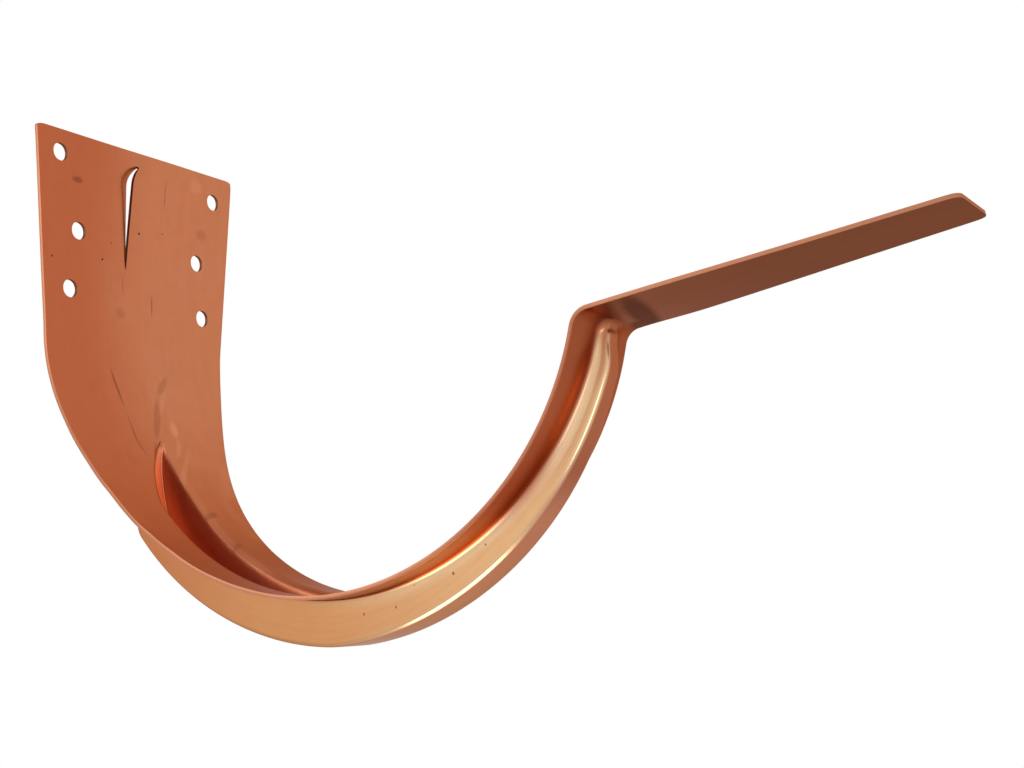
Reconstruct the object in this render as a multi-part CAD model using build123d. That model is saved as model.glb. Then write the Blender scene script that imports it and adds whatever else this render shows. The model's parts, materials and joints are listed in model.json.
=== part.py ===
"""Half round gutter hanger, pressed and bent from a single strip of sheet copper.

A flat back plate is nailed to the fascia, a tapering band with a deep stiffening bead cradles
the gutter, and a strap at the front is left straight, to be folded over the gutter and tucked
behind the lanced lip of the plate. X runs from the fascia out to the front of the gutter, Y along
the gutter and Z up. The shapes are laid out about the gutter's axis, and the finished hanger is
moved so that its origin lies on the fascia face, midway between the lower nail holes.
"""

import os
from math import atan2, cos, hypot, radians, sin, sqrt, tan

from build123d import *

# Sheet and gutter, in millimetres
SHEET = 1.0
GUTTER_RADIUS = 76.2

# Back plate, which rises from the level of the gutter's axis
PLATE_HEIGHT = 57.8
PLATE_TOP_WIDTH = 80.2
PLATE_FOOT_WIDTH = 70.4
PLATE_CORNER_RADIUS = 1.5

# Nail holes in three mirrored pairs, each set in from the sides of the plate
HOLE_DIAMETER = 5.2
TOP_HOLES_DROP = 7.6
TOP_HOLES_INSET = 8.0
MIDDLE_HOLES_RISE = 28.8
MIDDLE_HOLES_INSET = 13.5
LOWER_HOLES_RISE = 11.6
LOWER_HOLES_INSET = 9.4

# Lanced slit: the cut leans from its foot to a shoulder and hooks over to its tip
SLIT_TIP_DROP = 3.8
SLIT_LENGTH = 33.6
SLIT_HOOK_LENGTH = 6.0
SLIT_FOOT_OFFSET = -5.8
SLIT_LEAN = 2.65
SLIT_HOOK = 2.4
SLIT_KERF = 0.25

# Lip beside the slit, pressed back behind the plate, with its root let into the sheet
LIP_WIDTH = 5.2
LIP_PUSH = 2.7
LIP_TUCK = 0.4
LIP_SKIN = 0.05

# Band round the gutter, with angles as degrees of swing from the plate's foot
BAND_SWING = 167.8
BAND_ROOT_WIDTH = 37.5
BAND_FRONT_WIDTH = 28.2
FLARE_SWING = 36.0
FLARE_POWER = 2.5

# Bead pressed outwards from the band: a pointed start beside the middle, full depth below the
# gutter and a taper that carries it into the front bend, where it dies out
BEAD_DEPTH = 12.0
BEAD_FRONT_DEPTH = 4.3
BEAD_WIDTH = 14.6
BEAD_FRONT_WIDTH = 5.5
BEAD_TIP_WIDTH = 1.8
BEAD_TIP_OFFSET = 4.0
BEAD_FRONT_OFFSET = 2.2
BEAD_DRAFT = 0.8
BEAD_FOOT_ROUND = 2.0
BEAD_FRONT_FOOT_ROUND = 3.6
BEAD_CREST_ROUND = 0.3
BEAD_START = 22.3
BEAD_RISE_SWING = 18.0
BEAD_RISE_POWER = 1.4
BEAD_TAPER_START = 90.0
BEAD_TAPER_POWER = 1.5
BEAD_DRIFT_POWER = 2.5
BEAD_FADE_SWING = 6.0
BEAD_FADE_SHARE = 0.4
BEAD_FADE_SPREAD = 2.0

# Front strap
BEND_RADIUS = 4.5
STRAP_RISE = 8.9
STRAP_LENGTH = 86.9
STRAP_TIP_WIDTH = 19.6
STRAP_CORNER_RADIUS = 2.2

# How finely the curves are followed: sections of the band before, along and after the bead's
# rise and in the front bend, flats in each rounded fold, and levels of the lip and its hook
ROOT_SECTION_COUNT = 6
RISE_SECTION_COUNT = 8
BEAD_SECTION_COUNT = 22
BEND_SECTION_COUNT = 11
FOLD_FLAT_COUNT = 4
LIP_LEVELS = (0.05, 0.35, 0.7, 1.0)
HOOK_LEVELS = (0.45, 0.75, 0.93)
HOOK_TURNS = (0.0, 30.0, 60.0, 90.0)

# Largest roundings that a shallow bead has room for, as shares of its wall and of its crest
FOOT_WALL_SHARE = 0.65
CREST_WALL_SHARE = 0.3
CREST_SHARE = 0.8

BEAD_FULL = BEAD_START + BEAD_RISE_SWING
BEND_TURN = BAND_SWING - 90.0 - STRAP_RISE
SLIT_TIP_RISE = PLATE_HEIGHT - SLIT_TIP_DROP
SLIT_FOOT_RISE = SLIT_TIP_RISE - SLIT_LENGTH
SLIT_SHOULDER_RISE = SLIT_TIP_RISE - SLIT_HOOK_LENGTH


def share_between(value, start, end):
    """How far a value lies from start to end, held between 0 and 1."""
    return min(max((value - start) / (end - start), 0.0), 1.0)


def ease(share):
    """Smooth step, level at 0 and at 1."""
    return share * share * (3.0 - 2.0 * share)


def settle(share, power):
    """Quick at 0 and level at 1."""
    return 1.0 - (1.0 - share) ** power


def blend(start, end, share):
    return start + (end - start) * share


# Back plate


def plate_half_width(rise):
    return blend(PLATE_FOOT_WIDTH, PLATE_TOP_WIDTH, rise / PLATE_HEIGHT) / 2.0


def plate_plane():
    """Plane of the fascia face, with Y and Z as its directions."""
    return Plane.YZ.offset(-GUTTER_RADIUS - SHEET)


def nail_holes():
    """Positions of the nail holes on the plate."""
    rows = (
        (PLATE_HEIGHT - TOP_HOLES_DROP, TOP_HOLES_INSET),
        (MIDDLE_HOLES_RISE, MIDDLE_HOLES_INSET),
        (LOWER_HOLES_RISE, LOWER_HOLES_INSET),
    )
    places = []
    for rise, inset in rows:
        across = plate_half_width(rise) - inset
        places += [(-across, rise), (across, rise)]
    return places


def slit_hook(rise):
    """How far up the hooked top of the slit a level lies, 0 below the shoulder."""
    return share_between(rise, SLIT_SHOULDER_RISE, SLIT_TIP_RISE)


def slit_cut(rise):
    """Y of the slit's cut edge at a level."""
    lean = SLIT_LEAN * (rise - SLIT_FOOT_RISE) / (SLIT_SHOULDER_RISE - SLIT_FOOT_RISE)
    return SLIT_FOOT_OFFSET + lean + SLIT_HOOK * slit_hook(rise) ** 2


def lip_growth(rise):
    """Size of the lip at a level: it widens up to the shoulder and rounds off to the tip."""
    growth = share_between(rise, SLIT_FOOT_RISE, SLIT_SHOULDER_RISE)
    return growth * sqrt(1.0 - slit_hook(rise) ** 2)


def lip_fold(rise):
    """Y of the line where the lip leaves the plate."""
    return slit_cut(rise) - LIP_WIDTH * lip_growth(rise)


def slit_opening():
    """Leaf-shaped outline between the slit's cut edge and the fold of its lip."""
    shares = [sin(radians(turn)) for turn in HOOK_TURNS]
    levels = [blend(SLIT_SHOULDER_RISE, SLIT_TIP_RISE, share) for share in shares]
    cut_hook = [(slit_cut(level), level) for level in levels]
    fold_hook = [(lip_fold(level), level) for level in levels]
    foot = (SLIT_FOOT_OFFSET, SLIT_FOOT_RISE)
    cut = [Line(foot, cut_hook[0]), Spline(cut_hook)]
    fold = [Spline(fold_hook[::-1]), Line(fold_hook[0], foot)]
    return make_face(cut + fold)


def lip_section(rise):
    """Section of the lip at a level, from inside the plate at the fold to its free edge."""
    front = -GUTTER_RADIUS - LIP_SKIN
    back = -GUTTER_RADIUS - SHEET + LIP_SKIN
    push = LIP_PUSH * lip_growth(rise)
    root = lip_fold(rise) - LIP_TUCK
    edge = slit_cut(rise) - SLIT_KERF
    corners = [(front, root), (front - push, edge), (back - push, edge), (back, root)]
    return Wire.make_polygon([Vector(x, y, rise) for x, y in corners])


def slit_lip():
    """Lip pressed back from the plate, with both ends tucked into the sheet."""
    levels = [blend(SLIT_FOOT_RISE, SLIT_SHOULDER_RISE, share) for share in LIP_LEVELS]
    levels += [blend(SLIT_SHOULDER_RISE, SLIT_TIP_RISE, share) for share in HOOK_LEVELS]
    return Solid.make_loft([lip_section(level) for level in levels], True)


def back_plate():
    top = plate_half_width(PLATE_HEIGHT)
    foot = plate_half_width(0.0)
    outline = Polyline((-foot, 0), (foot, 0), (top, PLATE_HEIGHT), (-top, PLATE_HEIGHT), close=True)
    face = make_face(outline)
    face = fillet(face.vertices().sort_by(Axis.Y)[-2:], PLATE_CORNER_RADIUS)
    face -= Locations(*nail_holes()) * Circle(HOLE_DIAMETER / 2.0)
    face -= slit_opening()
    return extrude(plate_plane() * face, SHEET) + slit_lip()


# Band with its bead


def band_half_width(swing):
    """Half of the band's width: a straight taper, and a flare that joins it to the plate."""
    taper = blend(BAND_ROOT_WIDTH, BAND_FRONT_WIDTH, swing / BAND_SWING)
    flare = (PLATE_FOOT_WIDTH - BAND_ROOT_WIDTH) / (1.0 + (swing / FLARE_SWING) ** FLARE_POWER)
    return (taper + flare) / 2.0


def bead_opening(swing):
    """How far the bead has opened from its pointed start to its full section, most of it early."""
    return settle(share_between(swing, BEAD_START, BEAD_FULL), BEAD_RISE_POWER)


def bead_travel(swing):
    """How far along its taper, from the full section to the front bend, the bead has come."""
    return share_between(swing, BEAD_TAPER_START, BAND_SWING)


def bead_taper(swing):
    """How far the bead has gone from its full depth and folds to those at the front."""
    return settle(bead_travel(swing), BEAD_TAPER_POWER)


def bead_depth(swing):
    """Depth of the bead below the inner face of the band."""
    return blend(BEAD_DEPTH, BEAD_FRONT_DEPTH, bead_taper(swing)) * bead_opening(swing)


def bead_half_width(swing):
    """Half of the bead's width at its foot."""
    opened = blend(BEAD_TIP_WIDTH, BEAD_WIDTH, bead_opening(swing))
    return blend(opened, BEAD_FRONT_WIDTH, bead_travel(swing)) / 2.0


def bead_centre(swing):
    """How far to the side of the band's middle the bead lies."""
    start = blend(BEAD_TIP_OFFSET, 0.0, bead_opening(swing))
    return blend(start, BEAD_FRONT_OFFSET, bead_travel(swing) ** BEAD_DRIFT_POWER)


def bead_fade(swing, turned):
    """How far the bead has died out: by a share at the end of the band, and for good in the bend."""
    run_out = ease(share_between(swing, BAND_SWING - BEAD_FADE_SWING, BAND_SWING))
    return blend(BEAD_FADE_SHARE * run_out, 1.0, ease(turned))


def folded_run(corners, rounds):
    """Edges along a run of corners, with a few flats along a curve at each inner corner."""
    points = [Vector(*corners[0])]
    for before, corner, after, reach in zip(corners, corners[1:], corners[2:], rounds):
        middle = Vector(*corner)
        enter = middle + (Vector(*before) - middle).normalized() * reach
        leave = middle + (Vector(*after) - middle).normalized() * reach
        for index in range(FOLD_FLAT_COUNT + 1):
            share = index / FOLD_FLAT_COUNT
            first = blend(enter, middle, share)
            second = blend(middle, leave, share)
            points.append(blend(first, second, share))
    points.append(Vector(*corners[-1]))
    return [Edge.make_line(start, end) for start, end in zip(points, points[1:])]


def band_plane(swing):
    """Plane across the band, through the gutter's axis, with Y and the way out as its directions."""
    turn = radians(swing)
    return Plane(origin=(0, 0, 0), x_dir=(0, 1, 0), z_dir=(-sin(turn), 0, cos(turn)))


def plain_section(swing):
    """Outline of the sheet across the band where it has no bead."""
    middle = Pos(0, GUTTER_RADIUS + SHEET / 2.0)
    outline = Wire.make_rect(2.0 * band_half_width(swing), SHEET)
    return outline.moved(band_plane(swing).location * middle)


def beaded_section(swing, turned=0.0):
    """Outline of the sheet across the band, with the bead as it is at a share of the front bend."""
    half = band_half_width(swing)
    fade = bead_fade(swing, turned)
    depth = bead_depth(swing) * (1.0 - fade)
    draft = BEAD_DRAFT + BEAD_FADE_SPREAD * fade
    centre = bead_centre(swing)
    crest = bead_half_width(swing) - BEAD_DRAFT
    foot = crest + draft
    wall = hypot(draft, depth)
    full_round = blend(BEAD_FOOT_ROUND, BEAD_FRONT_FOOT_ROUND, bead_taper(swing))
    foot_round = min(full_round, FOOT_WALL_SHARE * wall)
    crest_round = min(BEAD_CREST_ROUND, CREST_WALL_SHARE * wall, CREST_SHARE * crest)
    spread = SHEET * tan(atan2(depth, draft) / 2.0)
    faces = []
    for level, shift in ((GUTTER_RADIUS, 0.0), (GUTTER_RADIUS + SHEET, spread)):
        left = [(-half, level), (centre - foot - shift, level), (centre - crest - shift, level + depth)]
        right = [(centre + crest + shift, level + depth), (centre + foot + shift, level), (half, level)]
        rounds = (foot_round - shift, crest_round + shift, crest_round + shift, foot_round - shift)
        faces.append(folded_run(left + right, rounds))
    inner, outer = faces
    near_side = Edge.make_line(inner[0] @ 0, outer[0] @ 0)
    far_side = Edge.make_line(inner[-1] @ 1, outer[-1] @ 1)
    outline = Wire(inner + [far_side] + outer + [near_side])
    return outline.moved(band_plane(swing).location)


def spaced(start, end, count):
    """Values in even steps from start on, without the end."""
    return [blend(start, end, index / count) for index in range(count)]


def band():
    """Band from the plate to the front bend: plain sheet up to the bead's start, beaded beyond."""
    root = spaced(0.0, BEAD_START, ROOT_SECTION_COUNT) + [BEAD_START]
    rise = spaced(BEAD_START, BEAD_FULL, RISE_SECTION_COUNT)
    run = spaced(BEAD_FULL, BAND_SWING, BEAD_SECTION_COUNT) + [BAND_SWING]
    plain = Solid.make_loft([plain_section(swing) for swing in root])
    beaded = Solid.make_loft([beaded_section(swing) for swing in rise + run])
    return plain + beaded


# Front bend and strap


def bend_axis():
    """Axis that the strap is bent about, just outside the front end of the band."""
    turn = radians(BAND_SWING)
    reach = GUTTER_RADIUS + SHEET + BEND_RADIUS
    return Axis((-reach * cos(turn), 0, -reach * sin(turn)), (0, 1, 0))


def front_bend():
    """Bend from the band to the strap, in which the bead dies out."""
    sections = []
    for turned in spaced(0.0, 1.0, BEND_SECTION_COUNT) + [1.0]:
        section = beaded_section(BAND_SWING, turned)
        sections.append(section.rotate(bend_axis(), turned * BEND_TURN))
    return Solid.make_loft(sections)


def strap():
    rise = radians(STRAP_RISE)
    axis = bend_axis().position
    start = axis + Vector(-sin(rise), 0, cos(rise)) * BEND_RADIUS
    plane = Plane(origin=start, x_dir=(cos(rise), 0, sin(rise)), z_dir=(-sin(rise), 0, cos(rise)))
    root = band_half_width(BAND_SWING)
    tip = STRAP_TIP_WIDTH / 2.0
    outline = Polyline((0, -root), (STRAP_LENGTH, -tip), (STRAP_LENGTH, tip), (0, root), close=True)
    face = make_face(outline)
    face = fillet(face.vertices().sort_by(Axis.X)[-2:], STRAP_CORNER_RADIUS)
    return extrude(plane * face, SHEET)


def hanger():
    """The whole hanger, with its origin moved to the fascia face."""
    body = back_plate() + band() + front_bend() + strap()
    return Pos(GUTTER_RADIUS + SHEET, 0, -LOWER_HOLES_RISE) * body


os.makedirs("parts", exist_ok=True)
export_step(hanger(), "parts/gutter_hanger.step")
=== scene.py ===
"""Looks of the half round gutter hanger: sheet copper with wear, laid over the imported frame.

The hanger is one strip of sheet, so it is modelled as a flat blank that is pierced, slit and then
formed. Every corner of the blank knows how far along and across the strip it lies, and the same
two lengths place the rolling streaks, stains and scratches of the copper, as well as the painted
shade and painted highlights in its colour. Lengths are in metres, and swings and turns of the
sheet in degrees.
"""

import json
import logging
from dataclasses import dataclass, field
from enum import Enum, IntEnum
from math import ceil, cos, exp, hypot, pi, radians, sin, sqrt
from typing import Any

import bmesh
import bpy
from mathutils import Matrix, Vector, noise


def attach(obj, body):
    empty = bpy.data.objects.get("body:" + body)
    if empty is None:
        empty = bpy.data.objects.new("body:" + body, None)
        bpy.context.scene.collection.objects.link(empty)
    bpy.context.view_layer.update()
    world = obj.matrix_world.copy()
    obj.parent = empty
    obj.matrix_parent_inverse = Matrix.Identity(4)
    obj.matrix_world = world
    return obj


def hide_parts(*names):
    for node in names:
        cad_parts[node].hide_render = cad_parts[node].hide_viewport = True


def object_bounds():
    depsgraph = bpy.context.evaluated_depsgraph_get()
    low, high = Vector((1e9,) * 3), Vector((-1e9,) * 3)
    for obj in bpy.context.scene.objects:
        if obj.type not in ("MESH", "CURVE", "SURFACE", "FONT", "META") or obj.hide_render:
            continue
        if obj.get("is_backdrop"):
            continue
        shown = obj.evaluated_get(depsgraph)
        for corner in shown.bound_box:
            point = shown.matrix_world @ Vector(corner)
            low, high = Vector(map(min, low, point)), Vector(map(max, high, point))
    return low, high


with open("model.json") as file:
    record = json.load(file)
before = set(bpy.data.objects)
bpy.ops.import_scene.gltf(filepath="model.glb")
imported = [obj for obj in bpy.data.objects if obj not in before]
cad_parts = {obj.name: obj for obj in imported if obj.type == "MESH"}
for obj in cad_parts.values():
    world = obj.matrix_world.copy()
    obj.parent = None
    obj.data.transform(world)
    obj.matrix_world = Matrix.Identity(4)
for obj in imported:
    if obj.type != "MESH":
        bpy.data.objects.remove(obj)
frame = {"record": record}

log = logging.getLogger("gutter_hanger")

MM = 0.001
HANGER_NODE = "gutter_hanger"
SHEET_PIECE = f"{HANGER_NODE}_sheet"
HANGER_BODY = "root"
BLANK_MAP = "blank"
BEAD_WALL = "bead_wall"
BEAD_CREST = "bead_crest"
BEAD_FOOT = "bead_foot"
BEAD_FOLD = "bead_fold"
WELD_DISTANCE = 1e-7
CUT_TOLERANCE = 1e-6
SUBDIVIDED_RIM_SHARE = 0.75

Point = tuple[float, float]
Point3 = tuple[float, float, float]
Colour = tuple[float, float, float, float]

WHITE: Colour = (1.0, 1.0, 1.0, 1.0)


# Small sums that several classes share


def share_between(value: float, start: float, end: float) -> float:
    """Returns how far a value lies on the way from start to end, held between 0 and 1."""
    return min(max((value - start) / (end - start), 0.0), 1.0)


def ease(share: float) -> float:
    """Returns the smooth step of a share, level at 0 and at 1."""
    return share * share * (3.0 - 2.0 * share)


def settle(share: float, power: float) -> float:
    """Returns a rise from 0 to 1 that is quick at 0 and level at 1."""
    return 1.0 - (1.0 - share) ** power


def blend(start: float, end: float, share: float) -> float:
    """Returns the value that lies at a share of the way from start to end."""
    return start + (end - start) * share


def spaced(start: float, end: float, step: float) -> list[float]:
    """Returns a run in even steps, none longer than the step given, without its end."""
    count = ceil(abs(end - start) / step)
    return [blend(start, end, index / count) for index in range(count)]


def rounded_corner(before: Point, corner: Point, after: Point, reach: float, count: int) -> list[Point]:
    """Rounds a corner of an outline with a quadratic curve.

    Args:
        before: a point on the leg that comes in.
        corner: the corner itself.
        after: a point on the leg that goes out.
        reach: how far down each leg the curve starts.
        count: the number of points on the curve.

    Returns:
        Points along the curve, both ends included.
    """
    middle = Vector(corner)
    enter = middle + (Vector(before) - middle).normalized() * reach
    leave = middle + (Vector(after) - middle).normalized() * reach
    points = []
    for index in range(count):
        share = index / (count - 1)
        first = enter.lerp(middle, share)
        second = middle.lerp(leave, share)
        points.append(tuple(first.lerp(second, share)))
    return points


def mount(name: str) -> dict[str, Any]:
    """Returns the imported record's mount of that name."""
    return next(entry for entry in frame["record"]["mounts"] if entry["name"] == name)


# The formed strip


class Zone(Enum):
    """Stretches of the strip, from the top of the plate to the tip of the strap."""

    PLATE = "plate"
    BAND = "band"
    BEND = "bend"
    STRAP = "strap"


@dataclass(frozen=True)
class Station:
    """One row across the strip.

    The reach is a rise on the plate, a swing on the band, a turn in the bend and a length on the
    strap. Along is the flat length from the top edge of the plate.
    """

    zone: Zone
    reach: float
    along: float


@dataclass(frozen=True)
class Dent:
    """A crease or bump in the sheet, along a line of the blank.

    Start and end are pairs of along and across. A positive height stands out towards the gutter.
    """

    start: Point
    end: Point
    width: float
    height: float

    def lift(self, along: float, across: float) -> float:
        """Works out how far the dent lifts the sheet.

        Args:
            along: the place along the blank.
            across: the place across the blank.

        Returns:
            The lift, which fades away to both sides of the dent's line.
        """
        start = Vector(self.start)
        run = Vector(self.end) - start
        way = Vector((along, across)) - start
        share = share_between(way.dot(run), 0.0, run.length_squared)
        miss = (way - run * share).length
        return self.height * exp(-((miss / self.width) ** 2))


@dataclass
class HangerForm:
    """Sizes of the hanger and the curves that its inner face follows."""

    gutter_radius: float
    gutter_axis: Vector
    sheet: float = 1.0 * MM

    plate_height: float = 57.8 * MM
    plate_top_width: float = 80.2 * MM
    plate_foot_width: float = 70.4 * MM
    plate_corner: float = 1.5 * MM
    top_slant: float = 1.15 * MM
    slant_start: float = 53.2 * MM

    slit_tip_drop: float = 3.8 * MM
    slit_length: float = 33.6 * MM
    slit_hook_length: float = 6.0 * MM
    slit_foot_offset: float = -5.8 * MM
    slit_lean: float = 2.65 * MM
    slit_hook_reach: float = 2.4 * MM
    slit_kerf: float = 0.25 * MM
    lip_width: float = 5.2 * MM
    lip_push: float = 2.7 * MM

    band_swing: float = 167.8
    band_root_width: float = 37.5 * MM
    band_front_width: float = 28.2 * MM
    flare_swing: float = 36.0
    flare_power: float = 2.5

    bead_depth: float = 12.0 * MM
    bead_front_depth: float = 4.3 * MM
    bead_width: float = 14.6 * MM
    bead_front_width: float = 5.5 * MM
    bead_tip_width: float = 1.8 * MM
    bead_tip_offset: float = 4.0 * MM
    bead_front_offset: float = 2.2 * MM
    bead_draft: float = 0.8 * MM
    bead_foot_round: float = 2.0 * MM
    bead_front_foot_round: float = 3.6 * MM
    bead_crest_round: float = 0.3 * MM
    bead_start: float = 22.3
    bead_rise_swing: float = 18.0
    bead_rise_power: float = 1.4
    bead_taper_start: float = 90.0
    bead_taper_power: float = 1.5
    bead_drift_power: float = 2.5
    bead_fade_swing: float = 6.0
    bead_fade_share: float = 0.4
    bead_fade_spread: float = 2.0 * MM
    foot_wall_share: float = 0.65
    crest_wall_share: float = 0.3
    crest_share: float = 0.8

    bend_radius: float = 4.5 * MM
    strap_rise: float = 8.9
    strap_length: float = 86.9 * MM
    strap_tip_width: float = 19.6 * MM
    strap_corner: float = 2.2 * MM

    @classmethod
    def from_frame(cls) -> "HangerForm":
        """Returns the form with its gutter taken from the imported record."""
        seat = mount("gutter_seat")
        return cls(gutter_radius=seat["dims"]["r_mm"] * MM, gutter_axis=Vector(seat["pos_m"]))

    @property
    def slit_tip(self) -> float:
        """Rise of the slit's tip above the plate's foot."""
        return self.plate_height - self.slit_tip_drop

    @property
    def slit_foot(self) -> float:
        """Rise of the slit's lower end."""
        return self.slit_tip - self.slit_length

    @property
    def slit_shoulder(self) -> float:
        """Rise at which the slit starts to hook over."""
        return self.slit_tip - self.slit_hook_length

    @property
    def bead_full(self) -> float:
        """Swing at which the bead has opened to its full section."""
        return self.bead_start + self.bead_rise_swing

    @property
    def bend_turn(self) -> float:
        """Turn of the front bend."""
        return self.band_swing - 90.0 - self.strap_rise

    @property
    def top_face_radius(self) -> float:
        """Radius of the inner face in the front bend, where it lies outside."""
        return self.bend_radius + self.sheet

    @property
    def band_start_along(self) -> float:
        """Flat length at which the band starts."""
        return self.plate_height

    @property
    def bend_start_along(self) -> float:
        """Flat length at which the front bend starts."""
        return self.band_start_along + self.gutter_radius * radians(self.band_swing)

    @property
    def strap_start_along(self) -> float:
        """Flat length at which the strap starts."""
        return self.bend_start_along + self.top_face_radius * radians(self.bend_turn)

    def plate_half_width(self, rise: float) -> float:
        """Returns half of the plate's width at a rise."""
        return blend(self.plate_foot_width, self.plate_top_width, rise / self.plate_height) / 2.0

    def band_half_width(self, swing: float) -> float:
        """Works out half of the band's width.

        Args:
            swing: where the section lies on the band.

        Returns:
            The half width, which flares out to meet the plate.
        """
        taper = blend(self.band_root_width, self.band_front_width, swing / self.band_swing)
        flare = self.plate_foot_width - self.band_root_width
        return (taper + flare / (1.0 + (swing / self.flare_swing) ** self.flare_power)) / 2.0

    def strap_half_width(self, length: float) -> float:
        """Returns half of the strap's width at a length from the bend."""
        return blend(self.band_front_width, self.strap_tip_width, length / self.strap_length) / 2.0

    def slit_hook(self, rise: float) -> float:
        """Returns how far up the hooked top of the slit a rise lies."""
        return share_between(rise, self.slit_shoulder, self.slit_tip)

    def slit_cut(self, rise: float) -> float:
        """Returns where the slit's cut edge lies across the plate at a rise."""
        lean = self.slit_lean * (rise - self.slit_foot) / (self.slit_shoulder - self.slit_foot)
        return self.slit_foot_offset + lean + self.slit_hook_reach * self.slit_hook(rise) ** 2

    def lip_growth(self, rise: float) -> float:
        """Returns the size of the lip at a rise, as a share of its full size."""
        growth = share_between(rise, self.slit_foot, self.slit_shoulder)
        return growth * sqrt(1.0 - self.slit_hook(rise) ** 2)

    def bead_opening(self, swing: float) -> float:
        """Returns how far the bead has opened from its pointed start, most of it early."""
        return settle(share_between(swing, self.bead_start, self.bead_full), self.bead_rise_power)

    def bead_travel(self, swing: float) -> float:
        """Returns how far along its taper to the front the bead has come."""
        return share_between(swing, self.bead_taper_start, self.band_swing)

    def bead_fade(self, swing: float, turned: float) -> float:
        """Returns how far the bead has died out at a swing and a share of the bend's turn."""
        run_out = ease(share_between(swing, self.band_swing - self.bead_fade_swing, self.band_swing))
        return blend(self.bead_fade_share * run_out, 1.0, ease(turned))

    def bead_taper(self, swing: float) -> float:
        """Returns how far the bead has gone to the depth and folds that it has at the front."""
        return settle(self.bead_travel(swing), self.bead_taper_power)

    def bead_depth_at(self, swing: float) -> float:
        """Returns the bead's depth below the inner face of the band."""
        tapered = blend(self.bead_depth, self.bead_front_depth, self.bead_taper(swing))
        return tapered * self.bead_opening(swing)

    def bead_half_width(self, swing: float) -> float:
        """Returns half of the bead's width at its foot."""
        opened = blend(self.bead_tip_width, self.bead_width, self.bead_opening(swing))
        return blend(opened, self.bead_front_width, self.bead_travel(swing)) / 2.0

    def bead_centre(self, swing: float) -> float:
        """Returns how far to the side of the band's middle the bead lies."""
        start = blend(self.bead_tip_offset, 0.0, self.bead_opening(swing))
        return blend(start, self.bead_front_offset, self.bead_travel(swing) ** self.bead_drift_power)

    def half_profile(self, swing: float, turned: float, round_points: int, wall_points: int) -> list[Point]:
        """Works out half of the bead's profile on the inner face.

        Args:
            swing: where the profile lies on the band.
            turned: the share of the front bend that lies before it.
            round_points: the number of points on each rounding.
            wall_points: the number of points on the wall between the roundings.

        Returns:
            Pairs of distance from the bead's middle and depth, from the crest out to the flat.
        """
        fade = self.bead_fade(swing, turned)
        depth = self.bead_depth_at(swing) * (1.0 - fade)
        draft = self.bead_draft + self.bead_fade_spread * fade
        crest = self.bead_half_width(swing) - self.bead_draft
        foot = crest + draft
        wall = hypot(draft, depth)
        crest_round = min(self.bead_crest_round, self.crest_wall_share * wall, self.crest_share * crest)
        full_round = blend(self.bead_foot_round, self.bead_front_foot_round, self.bead_taper(swing))
        foot_round = min(full_round, self.foot_wall_share * wall)
        top = rounded_corner((0.0, depth), (crest, depth), (foot, 0.0), crest_round, round_points)
        flank = (self.band_half_width(swing), 0.0)
        base = rounded_corner((crest, depth), (foot, 0.0), flank, foot_round, round_points)
        between = []
        for index in range(wall_points):
            share = (index + 1) / (wall_points + 1)
            between.append(tuple(Vector(top[-1]).lerp(Vector(base[0]), share)))
        return top + between + base

    def anchor(self, station: Station) -> tuple[Vector, Vector]:
        """Finds where a row crosses the middle plane.

        Args:
            station: the row.

        Returns:
            The point on the inner face, without bead or dents, and the way out of that face.
        """
        if station.zone is Zone.PLATE:
            normal = Vector((1.0, 0.0, 0.0))
            return self.gutter_axis + Vector((-self.gutter_radius, 0.0, station.reach)), normal
        if station.zone is Zone.BAND:
            turn = radians(station.reach)
            normal = Vector((cos(turn), 0.0, sin(turn)))
            return self.gutter_axis - normal * self.gutter_radius, normal
        turn = radians(self.band_swing)
        reach = self.gutter_radius + self.sheet + self.bend_radius
        bend_axis = self.gutter_axis - Vector((cos(turn), 0.0, sin(turn))) * reach
        if station.zone is Zone.BEND:
            facing = radians(self.band_swing - station.reach)
            normal = Vector((cos(facing), 0.0, sin(facing)))
            return bend_axis + normal * self.top_face_radius, normal
        rise = radians(self.strap_rise)
        normal = Vector((-sin(rise), 0.0, cos(rise)))
        travel = Vector((cos(rise), 0.0, sin(rise))) * station.reach
        return bend_axis + normal * self.top_face_radius + travel, normal


@dataclass(frozen=True)
class NailHole:
    """A punched hole, by its rise above the plate's foot and its place across."""

    rise: float
    across: float
    radius: float


class Face(IntEnum):
    """Material slots of the hanger's mesh."""

    INNER = 0
    OUTER = 1
    CUT_EDGE = 2


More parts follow.
